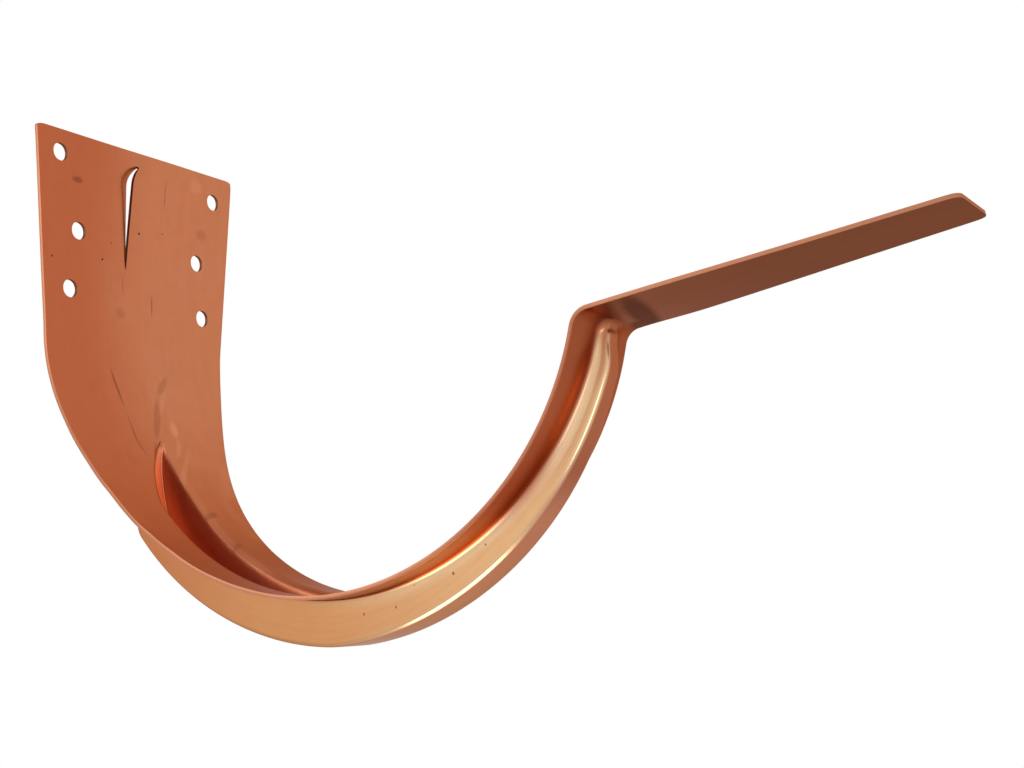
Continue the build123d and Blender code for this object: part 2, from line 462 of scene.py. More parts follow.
@dataclass
class HangerSheet:
    """The hanger's sheet: a blank that is pierced, slit, formed and given its thickness."""

    form: HangerForm
    plate_step: float = 1.45 * MM
    creased_step: float = 1.3 * MM
    band_step: float = 2.1 * MM
    bend_step: float = 0.8 * MM
    strap_step: float = 3.2 * MM
    rise_step: float = 0.85 * MM
    rise_margin: float = 3.0
    front_swing: float = 8.0
    round_points: int = 5
    wall_points: int = 2
    flank_columns: int = 11
    spread_rise: float = 10.0 * MM
    gather_swing: float = 20.0
    slit_column: int = 20
    slit_spread: int = 7
    slit_fade: float = 8.0 * MM
    hole_block: int = 2
    wave_height: float = 0.16 * MM
    wave_across: float = 24.0 * MM
    wave_along: float = 38.0 * MM
    rim_wave: float = 0.35 * MM
    rim_wave_length: float = 6.5 * MM
    rim_wave_width: float = 3.0 * MM
    rim_wave_seed: float = 0.5
    rim_wave_swings: tuple[float, float, float, float] = (16.0, 28.0, 60.0, 80.0)
    strap_roll: float = 0.018
    strap_roll_start: float = 20.0 * MM
    tip_slant: float = 0.7 * MM
    tip_slant_reach: float = 12.0 * MM
    edge_round: float = 0.2 * MM
    edge_segments: int = 2
    edge_angle: float = 55.0
    full_bead: float = 2.0 * MM
    dents: tuple[Dent, ...] = (
        Dent((66.0 * MM, -13.8 * MM), (82.0 * MM, -11.0 * MM), 1.2 * MM, -0.4 * MM),
        Dent((82.0 * MM, -11.0 * MM), (95.0 * MM, -9.3 * MM), 1.2 * MM, -0.3 * MM),
        Dent((66.5 * MM, 9.2 * MM), (73.3 * MM, 3.0 * MM), 2.4 * MM, -0.3 * MM),
        Dent((73.3 * MM, 3.0 * MM), (88.0 * MM, -2.6 * MM), 2.6 * MM, -0.3 * MM),
        Dent((82.5 * MM, 6.0 * MM), (84.5 * MM, 5.6 * MM), 2.2 * MM, 0.3 * MM),
        Dent((113.0 * MM, 17.5 * MM), (121.0 * MM, 21.0 * MM), 1.6 * MM, -0.2 * MM),
        Dent((128.0 * MM, 13.0 * MM), (131.0 * MM, 19.5 * MM), 1.8 * MM, -0.2 * MM),
    )
    rows: list[Station] = field(default_factory=list)

    def stations(self) -> list[Station]:
        """Lays out the rows, closer together where the sheet is creased or bent.

        Returns:
            The rows, from the top of the plate to the tip of the strap.
        """
        form = self.form
        levels = spaced(form.plate_height, form.slit_tip, self.plate_step)
        levels += spaced(form.slit_tip, form.slit_foot, self.plate_step)
        levels += spaced(form.slit_foot, 0.0, self.plate_step)
        rows = [Station(Zone.PLATE, level, form.plate_height - level) for level in levels]
        per_length = 180.0 / (pi * form.gutter_radius)
        rise_start = form.bead_start - self.rise_margin
        rise_end = form.bead_full + self.rise_margin
        swings = spaced(0.0, rise_start, self.creased_step * per_length)
        swings += spaced(rise_start, rise_end, self.rise_step * per_length)
        swings += spaced(rise_end, form.band_swing - self.front_swing, self.band_step * per_length)
        swings += spaced(form.band_swing - self.front_swing, form.band_swing, self.creased_step * per_length)
        for swing in swings:
            rows.append(Station(Zone.BAND, swing, form.band_start_along + swing / per_length))
        for turn in spaced(0.0, form.bend_turn, self.bend_step * 180.0 / (pi * form.top_face_radius)):
            along = form.bend_start_along + form.top_face_radius * radians(turn)
            rows.append(Station(Zone.BEND, turn, along))
        tip = form.strap_length - form.strap_corner
        lengths = spaced(0.0, tip, self.strap_step) + spaced(tip, form.strap_length, form.strap_corner / 2.0)
        lengths.append(form.strap_length)
        for length in lengths:
            rows.append(Station(Zone.STRAP, length, form.strap_start_along + length))
        return rows

    @property
    def column_count(self) -> int:
        """Number of columns across the strip."""
        half = 2 * self.round_points + self.wall_points + self.flank_columns
        return 2 * half + 1

    def bead_columns(self, swing: float, turned: float) -> list[Point]:
        """Lays the columns out over the band's section.

        Args:
            swing: where the section lies on the band.
            turned: the share of the front bend that lies before it.

        Returns:
            Pairs of across and depth, from the near rim to the far one.
        """
        form = self.form
        profile = form.half_profile(swing, turned, self.round_points, self.wall_points)
        centre = form.bead_centre(swing)
        rim = form.band_half_width(swing)
        sides = []
        for side in (-1.0, 1.0):
            run = [(centre + side * offset, depth) for offset, depth in profile]
            foot = run[-1][0]
            for index in range(self.flank_columns):
                run.append((blend(foot, side * rim, (index + 1) / self.flank_columns), 0.0))
            sides.append(run)
        near, far = sides
        return near[::-1] + [(centre, profile[0][1])] + far

    def even_columns(self, half_width: float) -> list[Point]:
        """Returns columns spread evenly over a flat width."""
        last = self.column_count - 1
        return [(half_width * (2.0 * index / last - 1.0), 0.0) for index in range(last + 1)]

    def columns(self, station: Station) -> list[Point]:
        """Lays the columns out across a row.

        Args:
            station: the row.

        Returns:
            Pairs of across and depth, from the near rim to the far one.
        """
        form = self.form
        if station.zone is Zone.BEND:
            return self.bead_columns(form.band_swing, station.reach / form.bend_turn)
        if station.zone is Zone.STRAP:
            scale = form.strap_half_width(station.reach) / form.strap_half_width(0.0)
            return [(across * scale, depth) for across, depth in self.bead_columns(form.band_swing, 1.0)]
        if station.zone is Zone.PLATE:
            even = self.even_columns(form.plate_half_width(station.reach))
            gathered = self.bead_columns(0.0, 0.0)
        else:
            even = self.even_columns(form.band_half_width(station.reach))
            gathered = self.bead_columns(station.reach, 0.0)
        past_foot = station.along - form.band_start_along
        gather_end = form.gutter_radius * radians(self.gather_swing)
        share = ease(share_between(past_foot, -self.spread_rise, gather_end))
        places = []
        for (flat, _), (across, depth) in zip(even, gathered):
            places.append((blend(flat, across, share), depth))
        return self.slit_columns(station, places)

    def slit_columns(self, station: Station, places: list[Point]) -> list[Point]:
        """Draws the columns beside the slit over, so that one of them runs along its cut.

        Args:
            station: the row.
            places: the row's columns.

        Returns:
            The columns in their new places.
        """
        form = self.form
        if station.zone is not Zone.PLATE:
            return places
        rise = min(max(station.reach, form.slit_foot), form.slit_tip)
        miss = abs(station.reach - rise)
        fade = 1.0 - share_between(miss, 0.0, self.slit_fade)
        pull = (form.slit_cut(rise) - places[self.slit_column][0]) * fade
        moved = []
        for index, (across, depth) in enumerate(places):
            near = 1.0 - share_between(abs(index - self.slit_column), 0, self.slit_spread)
            moved.append((across + pull * ease(near), depth))
        return moved

    def lift(self, station: Station, across: float, half_width: float) -> float:
        """Adds up the dents and waves of the sheet at a place.

        Args:
            station: the row.
            across: the place across the row.
            half_width: half of the row's width.

        Returns:
            How far the inner face stands out from its true curve.
        """
        along = station.along
        lift = sum(dent.lift(along, across) for dent in self.dents)
        spot = Vector((across / self.wave_across, along / self.wave_along, 0.0))
        lift += self.wave_height * noise.noise(spot)
        if station.zone is Zone.BAND and across < 0.0:
            begin, full, hold, end = self.rim_wave_swings
            fading = share_between(station.reach, hold, end)
            swing_share = share_between(station.reach, begin, full) * (1.0 - fading)
            rim_share = exp(-(((half_width + across) / self.rim_wave_width) ** 2))
            ripple = noise.noise(Vector((along / self.rim_wave_length, 0.0, self.rim_wave_seed)))
            lift += self.rim_wave * ripple * swing_share * rim_share
        if station.zone is Zone.STRAP:
            rolled = ease(share_between(station.reach, 0.0, self.strap_roll_start))
            lift -= self.strap_roll * rolled * (half_width + across)
        return lift

    def corner_place(self, station: Station, across: float, half_width: float) -> Point:
        """Rounds the corners of the plate and the strap and slants both ends of the strip.

        Args:
            station: the row.
            across: the place across the row.
            half_width: half of the row's width.

        Returns:
            The place across and the step by which the corner moves along the strip.
        """
        form = self.form
        if station.zone is Zone.PLATE:
            radius = form.plate_corner
            from_end = form.plate_height - station.reach
        elif station.zone is Zone.STRAP:
            radius = form.strap_corner
            from_end = form.strap_length - station.reach
        else:
            return across, 0.0
        step = 0.0
        side = half_width - abs(across)
        if side < radius and from_end < radius:
            spoke = Vector((radius - side, radius - from_end))
            if spoke.length > radius:
                spoke = spoke.normalized() * radius
            across = (half_width - radius + spoke.x) * (1.0 if across > 0.0 else -1.0)
            step = from_end - (radius - spoke.y)
        if station.zone is Zone.PLATE:
            slant = share_between(station.reach, form.slant_start, form.plate_height)
            step += form.top_slant * slant * across / half_width
        else:
            slant = share_between(from_end, self.tip_slant_reach, 0.0)
            step += self.tip_slant * slant * across / half_width
        return across, step

    def holes(self) -> list[NailHole]:
        """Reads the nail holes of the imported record.

        Returns:
            The six holes, row by row from the top.
        """
        found = []
        for name in ("top_nail_holes", "middle_nail_holes", "lower_nail_holes"):
            row = mount(name)
            rise = row["pos_m"][2] - self.form.gutter_axis.z
            half = row["dims"]["spacing_x_mm"] * MM / 2.0
            for across in (-half, half):
                found.append(NailHole(rise, across, row["dims"]["hole_r_mm"] * MM))
        return found

    def blank(self, mesh: bmesh.types.BMesh) -> dict[tuple[int, int], bmesh.types.BMVert]:
        """Cuts the flat blank as a grid, with one corner for each row and column.

        Args:
            mesh: the empty mesh that takes the grid.

        Returns:
            The grid's corners by row and column.
        """
        row_count = len(self.rows)
        column_count = self.column_count
        bmesh.ops.create_grid(mesh, x_segments=column_count - 1, y_segments=row_count - 1, size=1.0)
        corners = {}
        for vert in mesh.verts:
            row = round((vert.co.y + 1.0) / 2.0 * (row_count - 1))
            column = round((vert.co.x + 1.0) / 2.0 * (column_count - 1))
            corners[row, column] = vert
        return corners

    def pierce(self, mesh: bmesh.types.BMesh, corners: dict, places: dict) -> None:
        """Punches the nail holes: a block of faces goes, and its border becomes the hole's rim.

        Args:
            mesh: the blank.
            corners: the grid's corners by row and column.
            places: their places as triples of across, depth and rise, which are changed here.
        """
        reach = self.hole_block
        steps = range(-reach, reach + 1)
        rim_count = 8 * reach
        neighbour_share = 1.0 - SUBDIVIDED_RIM_SHARE
        gain = 1.0 / (SUBDIVIDED_RIM_SHARE + neighbour_share * cos(2.0 * pi / rim_count))
        plate_rows = [index for index, row in enumerate(self.rows) if row.zone is Zone.PLATE]
        for hole in self.holes():
            row_misses = [abs(self.rows[index].reach - hole.rise) for index in plate_rows]
            middle_row = plate_rows[row_misses.index(min(row_misses))]
            misses = [abs(places[middle_row, index][0] - hole.across) for index in range(self.column_count)]
            middle = misses.index(min(misses))
            block = [(middle_row + down, middle + over) for down in steps for over in steps]
            inside = {corners[key] for key in block}
            doomed = {face for vert in inside for face in vert.link_faces if inside.issuperset(face.verts)}
            for row, column in block:
                down, over = row - middle_row, column - middle
                if max(abs(down), abs(over)) == reach:
                    spoke = Vector((over, -down)).normalized() * hole.radius * gain
                    places[row, column] = (hole.across + spoke.x, 0.0, hole.rise + spoke.y)
            bmesh.ops.delete(mesh, geom=list(doomed), context="FACES")
            for key in block:
                if not corners[key].is_valid:
                    del corners[key]

    def form_sheet(self, mesh: bmesh.types.BMesh) -> None:
        """Lays the blank out, pierces and slits it and bends it to its form.

        Args:
            mesh: the empty mesh that takes the sheet.
        """
        self.rows = self.stations()
        shares = {
            BEAD_WALL: self.wall_share,
            BEAD_CREST: self.crest_share,
            BEAD_FOOT: self.foot_share,
            BEAD_FOLD: self.fold_share,
        }
        flat = mesh.loops.layers.uv.new(BLANK_MAP)
        layers = {name: mesh.verts.layers.float.new(name) for name in shares}
        corners = self.blank(mesh)
        places = {}
        girths = []
        bead_shares = []
        for row, station in enumerate(self.rows):
            columns = self.columns(station)
            girths.append(self.girth(columns))
            deepest = max(depth for _, depth in columns)
            bead_shares.append(ease(share_between(deepest, 0.0, self.full_bead)))
            for column, (across, depth) in enumerate(columns):
                places[row, column] = (across, depth, station.reach)
        for (row, column), vert in corners.items():
            for loop in vert.link_loops:
                loop[flat].uv = (girths[row][column], self.rows[row].along)
        self.pierce(mesh, corners, places)
        for (row, column), vert in corners.items():
            station = self.rows[row]
            across, depth, reach = places[row, column]
            half_width = abs(places[row, 0][0])
            across, step = self.corner_place(station, across, half_width)
            point, normal = self.form.anchor(Station(station.zone, reach + step, station.along))
            raised = self.lift(station, across, half_width) - depth
            vert.co = point + Vector((0.0, across, 0.0)) + normal * raised
            from_middle = abs(column - self.column_count // 2)
            for name, share in shares.items():
                vert[layers[name]] = bead_shares[row] * share(from_middle)
        self.open_slit(mesh, corners)

    def crest_share(self, from_middle: int) -> float:
        """Returns 1 for a column on the crest of the bead, falling to 0 at the middle of its fold."""
        return 1.0 - share_between(from_middle, 1, self.round_points // 2 + 1)

    def wall_share(self, from_middle: int) -> float:
        """Tells how far a column lies on a wall of the bead.

        Args:
            from_middle: the number of columns between it and the middle one.

        Returns:
            1 on the wall, falling to 0 inside the folds on both sides of it.
        """
        wall_end = self.round_points + self.wall_points + 1
        past_crest = share_between(from_middle, 1, self.round_points // 2 + 1)
        past_wall = share_between(from_middle, wall_end, wall_end + self.round_points // 2)
        return past_crest * (1.0 - past_wall)

    def foot_share(self, from_middle: int) -> float:
        """Tells how far a column lies on the flange close beside the bead.

        Args:
            from_middle: the number of columns between it and the middle one.

        Returns:
            1 beside the bead, falling to 0 inside its fold and towards the rim.
        """
        fold_end = 2 * self.round_points + self.wall_points
        onto_flange = share_between(from_middle, fold_end - 2, fold_end)
        past_foot = share_between(from_middle, fold_end + 1, fold_end + self.flank_columns // 2 + 1)
        return onto_flange * (1.0 - past_foot)

    def fold_share(self, from_middle: int) -> float:
        """Tells how far a column lies in a fold of the bead.

        Args:
            from_middle: the number of columns between it and the middle one.

        Returns:
            1 in the middle of the crest's or the foot's fold, falling to 0 beside it.
        """
        half = self.round_points // 2 + 1
        foot_middle = self.round_points + self.wall_points + half - 1
        crest_fold = share_between(abs(from_middle - half), half - 1, 0)
        foot_fold = share_between(abs(from_middle - foot_middle), half - 1, 0)
        return max(crest_fold, foot_fold)

    def girth(self, columns: list[Point]) -> list[float]:
        """Measures a row over its bead.

        Args:
            columns: the row's columns.

        Returns:
            The length over the sheet from the middle column to each column.
        """
        lengths = [0.0]
        for before, after in zip(columns, columns[1:]):
            lengths.append(lengths[-1] + hypot(after[0] - before[0], after[1] - before[1]))
        middle = lengths[len(columns) // 2]
        return [length - middle for length in lengths]

    def open_slit(self, mesh: bmesh.types.BMesh, corners: dict) -> None:
        """Splits the sheet along the slit and presses the lip beside it back.

        Args:
            mesh: the formed sheet.
            corners: the grid's corners by row and column.
        """
        form = self.form
        slit_rows = []
        for index, row in enumerate(self.rows):
            inside = form.slit_foot - CUT_TOLERANCE <= row.reach <= form.slit_tip + CUT_TOLERANCE
            if row.zone is Zone.PLATE and inside:
                slit_rows.append(index)
        line = [corners[row, self.slit_column] for row in slit_rows]
        edges = [mesh.edges.get((first, second)) for first, second in zip(line, line[1:])]
        bmesh.ops.split_edges(mesh, edges=edges)
        for vert in mesh.verts:
            rise = vert.co.z - form.gutter_axis.z
            if not form.slit_foot < rise < form.slit_tip:
                continue
            centre = sum((face.calc_center_median().y for face in vert.link_faces), 0.0)
            centre /= max(len(vert.link_faces), 1)
            cut = form.slit_cut(rise)
            width = form.lip_width * form.lip_growth(rise)
            in_lip = cut - width < vert.co.y < cut + CUT_TOLERANCE
            if in_lip and (vert.co.y < cut - CUT_TOLERANCE or centre < cut):
                share = (vert.co.y - cut + width) / width
                vert.co.x -= form.lip_push * form.lip_growth(rise) * share
                vert.co.y -= form.slit_kerf * share

    def build(self) -> bpy.types.Object:
        """Makes the hanger's object, with the modifiers that give it thickness and soft edges.

        Returns:
            The hanger, still without its materials.
        """
        mesh = bmesh.new()
        self.form_sheet(mesh)
        bmesh.ops.remove_doubles(mesh, verts=mesh.verts, dist=WELD_DISTANCE)
        bmesh.ops.recalc_face_normals(mesh, faces=mesh.faces)
        probe = min(mesh.faces, key=lambda face: face.calc_center_median().z)
        if probe.normal.z < 0.0:
            bmesh.ops.reverse_faces(mesh, faces=mesh.faces)
        for polygon in mesh.faces:
            polygon.smooth = True
        data = bpy.data.meshes.new(SHEET_PIECE)
        mesh.to_mesh(data)
        mesh.free()
        piece = bpy.data.objects.new(SHEET_PIECE, data)
        bpy.context.scene.collection.objects.link(piece)
        smooth = piece.modifiers.new("smooth", "SUBSURF")
        smooth.levels = 1
        smooth.render_levels = 1
        smooth.boundary_smooth = "PRESERVE_CORNERS"
        thickness = piece.modifiers.new("thickness", "SOLIDIFY")
        thickness.thickness = self.form.sheet
        thickness.offset = -1.0
        thickness.use_even_offset = True
        thickness.use_quality_normals = True
        thickness.material_offset = Face.OUTER
        thickness.material_offset_rim = Face.CUT_EDGE
        edges = piece.modifiers.new("edges", "BEVEL")
        edges.width = self.edge_round
        edges.segments = self.edge_segments
        edges.limit_method = "ANGLE"
        edges.angle_limit = radians(self.edge_angle)
        return piece

    def dress(self, piece: bpy.types.Object, finishes: dict[Face, "CopperFinish"]) -> None:
        """Gives the hanger its materials and its place in the frame.

        Args:
            piece: the hanger's object.
            finishes: the finish of each face.
        """
        for face in Face:
            piece.data.materials.append(finishes[face].material())
        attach(piece, HANGER_BODY)
        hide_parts(HANGER_NODE)


# Shader sums


class Value:
    """A number on a shader socket. Each operator adds one Math node to its graph."""

    def __init__(self, graph: "ShaderGraph", socket: bpy.types.NodeSocket) -> None:
        """Keeps the graph and the socket that gives the number."""
        self.graph = graph
        self.socket = socket

    def __add__(self, other: "Value | float") -> "Value":
        """Returns the sum."""
        return self.graph.math("ADD", self, other)

    def __radd__(self, other: float) -> "Value":
        """Returns the sum, with the number first."""
        return self.graph.math("ADD", other, self)

    def __sub__(self, other: "Value | float") -> "Value":
        """Returns the difference."""
        return self.graph.math("SUBTRACT", self, other)

    def __rsub__(self, other: float) -> "Value":
        """Returns the difference, with the number first."""
        return self.graph.math("SUBTRACT", other, self)

    def __mul__(self, other: "Value | float") -> "Value":
        """Returns the product."""
        return self.graph.math("MULTIPLY", self, other)

    def __rmul__(self, other: float) -> "Value":
        """Returns the product, with the number first."""
        return self.graph.math("MULTIPLY", other, self)

    def __truediv__(self, other: "Value | float") -> "Value":
        """Returns the quotient."""
        return self.graph.math("DIVIDE", self, other)

    def __pow__(self, power: float) -> "Value":
        """Returns the power."""
        return self.graph.math("POWER", self, power)

    def either(self, other: "Value") -> "Value":
        """Returns the greater of two values."""
        return self.graph.math("MAXIMUM", self, other)

    def step(self, low: float, high: float) -> "Value":
        """Returns a smooth step from 0 at low to 1 at high."""
        return self.graph.smooth_step(self, low, high)


class ShaderGraph:
    """The nodes of one material or world."""

    def __init__(self, tree: bpy.types.NodeTree) -> None:
        """Takes a node tree over and empties it."""
        self.tree = tree
        tree.nodes.clear()

    def node(self, kind: str, settings: dict[str, Any], inputs: dict[Any, Any]) -> bpy.types.Node:
        """Adds a node.

        Args:
            kind: the node's type.
            settings: its settings, which are made first.
            inputs: values or links of its sockets, by name or number.

        Returns:
            The node.
        """
        made = self.tree.nodes.new(kind)
        for name, setting in settings.items():
            setattr(made, name, setting)
        for key, given in inputs.items():
            socket = made.inputs[key]
            if isinstance(given, Value):
                self.tree.links.new(given.socket, socket)
            elif isinstance(given, bpy.types.NodeSocket):
                self.tree.links.new(given, socket)
            else:
                socket.default_value = given
        return made

    def math(self, operation: str, first: Value | float, second: Value | float) -> Value:
        """Returns the result of a Math node."""
        made = self.node("ShaderNodeMath", {"operation": operation}, {0: first, 1: second})
        return Value(self, made.outputs[0])

    def smooth_step(self, value: Value, low: float, high: float) -> Value:
        """Adds a smooth step.

        Args:
            value: the value to step.
            low: where the step is 0.
            high: where the step is 1.

        Returns:
            The step.
        """
        settings = {"interpolation_type": "SMOOTHSTEP"}
        inputs = {"Value": value, "From Min": low, "From Max": high}
        return Value(self, self.node("ShaderNodeMapRange", settings, inputs).outputs["Result"])

    def parts(self, vector: bpy.types.NodeSocket) -> tuple[Value, Value, Value]:
        """Returns the three numbers of a vector."""
        split = self.node("ShaderNodeSeparateXYZ", {}, {"Vector": vector})
        return tuple(Value(self, split.outputs[name]) for name in "XYZ")

    def stretched(self, vector: bpy.types.NodeSocket, scale: Point3) -> bpy.types.NodeSocket:
        """Returns a vector with each of its numbers scaled."""
        return self.node("ShaderNodeMapping", {}, {"Vector": vector, "Scale": scale}).outputs["Vector"]

    def noise(self, vector: bpy.types.NodeSocket, scale: float, detail: float) -> Value:
        """Returns soft noise from 0 to 1."""
        inputs = {"Vector": vector, "Scale": scale, "Detail": detail}
        return Value(self, self.node("ShaderNodeTexNoise", {}, inputs).outputs["Fac"])

    def attribute(self, name: str) -> Value:
        """Returns a number that the mesh carries."""
        return Value(self, self.node("ShaderNodeAttribute", {"attribute_name": name}, {}).outputs["Fac"])

    def tones(self, along: Value, tones: tuple["Tone", ...]) -> Any:
        """Runs through a row of tones.

        Args:
            along: the place along the strip.
            tones: the colours and where each is reached.

        Returns:
            The colour, or the socket that gives it.
        """
        colour = tones[0].colour
        for before, after in zip(tones, tones[1:]):
            colour = self.mix(along.step(before.along, after.along), colour, after.colour)
        return colour

    def mix(self, share: Value, first: Any, second: Any) -> bpy.types.NodeSocket:
        """Returns a colour that goes from the first to the second with a share."""
        inputs = {0: share, 6: first, 7: second}
        return self.node("ShaderNodeMix", {"data_type": "RGBA"}, inputs).outputs[2]


# Finishes


@dataclass(frozen=True)
class Mark:
    """A speck, scratch or smudge in the copper, or a patch of painted shade or painted highlight, as an oval
    on the blank, turned by radians.
    """

    along: float
    across: float
    half_length: float
    half_width: float
    strength: float = 1.0
    turn: float = 0.0


@dataclass(frozen=True)
class Tone:
    """A colour that the copper has reached at a place along the strip."""

    along: float
    colour: Colour


@dataclass(frozen=True)
class Ground:
    """What a finish reads of the surface: its place on the blank, its share of the bead and noise."""

    across: Value
    along: Value
    wall: Value
    crest: Value
    foot: Value
    fold: Value
    streaks: Value
    bands: Value
    mottle: Value
    patches: Value


@dataclass(frozen=True)
class CopperFinish:
    """What the faces of the sheet have in common: rolling grain, marks, painted shade, painted highlights
    and sheen.
    """

    name: str
    roughness: float = 0.34
    rough_spread: float = 0.1
    wall_polish: float = 0.0
    grazing_tint: Colour = (0.68, 0.46, 0.40, 1.0)
    grain_brown: Colour = (0.24, 0.07, 0.03, 1.0)
    grain_strength: float = 0.09
    grain_range: Point = (0.35, 0.75)
    streak_share: float = 0.5
    streak_scale: Point3 = (1100.0, 22.0, 1.0)
    streak_detail: float = 3.0
    band_scale: Point3 = (180.0, 9.0, 1.0)
    band_detail: float = 2.0
    mottle_scale: float = 210.0
    mottle_detail: float = 4.0
    patch_scale: float = 46.0
    patch_detail: float = 2.0
    bump_strength: float = 0.25
    bump_depth: float = 0.02 * MM
    streak_height: float = 0.5
    # Colour of the marks: real specks, scratches and blotches, and painted shade along creases and dents.
    stain_and_shade: Colour = (0.06, 0.02, 0.011, 1.0)
    stain_and_shade_roughness: float = 0.15
    marks: tuple[Mark, ...] = ()
    mark_edge: Point = (0.4, 1.0)
    # Painted highlights: pale patches laid into the colour.
    painted_highlight: Colour = (0.62, 0.24, 0.115, 1.0)
    painted_highlights: tuple[Mark, ...] = ()

    def ground(self, graph: ShaderGraph) -> Ground:
        """Lays out what the finish reads of the surface.

        Args:
            graph: the material's nodes.

        Returns:
            The values.
        """
        flat = graph.node("ShaderNodeUVMap", {"uv_map": BLANK_MAP}, {}).outputs["UV"]
        solid = graph.node("ShaderNodeTexCoord", {}, {}).outputs["Object"]
        across, along, _ = graph.parts(flat)
        return Ground(
            across=across,
            along=along,
            wall=graph.attribute(BEAD_WALL),
            crest=graph.attribute(BEAD_CREST),
            foot=graph.attribute(BEAD_FOOT),
            fold=graph.attribute(BEAD_FOLD),
            streaks=graph.noise(graph.stretched(flat, self.streak_scale), 1.0, self.streak_detail),
            bands=graph.noise(graph.stretched(flat, self.band_scale), 1.0, self.band_detail),
            mottle=graph.noise(solid, self.mottle_scale, self.mottle_detail),
            patches=graph.noise(solid, self.patch_scale, self.patch_detail),
        )

    def base(self, graph: ShaderGraph, ground: Ground) -> Any:
        """Mixes the face's own colour, which each kind of face does in its way."""
        raise NotImplementedError(self.name)

    def mark_mask(self, ground: Ground, marks: tuple[Mark, ...]) -> Value:
        """Gathers marks of the face.

        Args:
            ground: what the finish reads of the surface.
            marks: the marks.

        Returns:
            A mask that is 1 inside a strong mark.
        """
        mask = 0.0 * ground.across
        for mark in marks:
            aside = ground.across - mark.across
            below = ground.along - mark.along
            over = (aside * cos(mark.turn) - below * sin(mark.turn)) / mark.half_width
            down = (below * cos(mark.turn) + aside * sin(mark.turn)) / mark.half_length
            miss = (over**2.0 + down**2.0) ** 0.5
            mask = mask.either(mark.strength * (1.0 - miss.step(*self.mark_edge)))
        return mask

    def material(self) -> bpy.types.Material:
        """Builds the finish.

        Returns:
            The material.
        """
        made = bpy.data.materials.new(self.name)
        made.use_nodes = True
        graph = ShaderGraph(made.node_tree)
        ground = self.ground(graph)
        rolled = ground.streaks.step(*self.grain_range) * self.streak_share
        grain = rolled + ground.mottle.step(*self.grain_range) * (1.0 - self.streak_share)
        colour = graph.mix(grain * self.grain_strength, self.base(graph, ground), self.grain_brown)
        # Painted highlights, laid over the grain.
        colour = graph.mix(self.mark_mask(ground, self.painted_highlights), colour, self.painted_highlight)
        # Specks, scratches and blotches, with painted shade along the creases and dents.
        stain_and_shade_mask = self.mark_mask(ground, self.marks)
        colour = graph.mix(stain_and_shade_mask, colour, self.stain_and_shade)
        roughness = self.roughness + self.rough_spread * (ground.mottle + ground.bands - 1.0)
        roughness = roughness - self.wall_polish * ground.wall + self.stain_and_shade_roughness * stain_and_shade_mask
        height = ground.streaks * self.streak_height + ground.mottle
        settings = {"Strength": self.bump_strength, "Distance": self.bump_depth, "Height": height}
        bump = graph.node("ShaderNodeBump", {}, settings)
        inputs = {
            "Base Color": colour,
            "Metallic": 1.0,
            "Roughness": roughness,
            "Specular Tint": self.grazing_tint,
            "Normal": bump.outputs["Normal"],
        }
        shader = graph.node("ShaderNodeBsdfPrincipled", {}, inputs)
        graph.node("ShaderNodeOutputMaterial", {}, {"Surface": shader.outputs["BSDF"]})
        return made


@dataclass(frozen=True)
class InnerFinish(CopperFinish):
    """The face towards the gutter: redder on the near side, paler and patchy on the far side."""

    near_tones: tuple[Tone, ...] = ()
    far_tones: tuple[Tone, ...] = ()
    side_reach: Point = (-20.0 * MM, 16.0 * MM)
    pale: Colour = (0.56, 0.205, 0.098, 1.0)
    pale_strength: float = 0.55
    patch_share: float = 0.75
    patch_range: Point = (0.48, 0.68)
    # Painted shade on the groove's near side and painted light on its far wall.
    groove_near_shade: Colour = (0.46, 0.09, 0.03, 1.0)
    groove_far_light: Colour = (0.88, 0.34, 0.17, 1.0)
    groove_middle: Point = (-1.0 * MM, 0.5 * MM)
    groove_edge: Point = (0.5, 1.0)

    def base(self, graph: ShaderGraph, ground: Ground) -> Any:
        """Mixes the two sides of the strip, its paler patches and the groove of the bead, which has painted
        shade on its near side and painted light on its far wall.

        Args:
            graph: the material's nodes.
            ground: what the finish reads of the surface.

        Returns:
            The socket that gives the colour.
        """
        side = ground.across.step(*self.side_reach)
        near = graph.tones(ground.along, self.near_tones)
        colour = graph.mix(side, near, graph.tones(ground.along, self.far_tones))
        cloudy = ground.patches * self.patch_share + ground.bands * (1.0 - self.patch_share)
        patchy = cloudy.step(*self.patch_range)
        colour = graph.mix(patchy * side * self.pale_strength, colour, self.pale)
        # Painted shade on the groove's near side and painted light on its far wall.
        groove = graph.mix(ground.across.step(*self.groove_middle), self.groove_near_shade, self.groove_far_light)
        in_groove = ground.wall.either(ground.crest).step(*self.groove_edge)
        return graph.mix(in_groove, colour, groove)


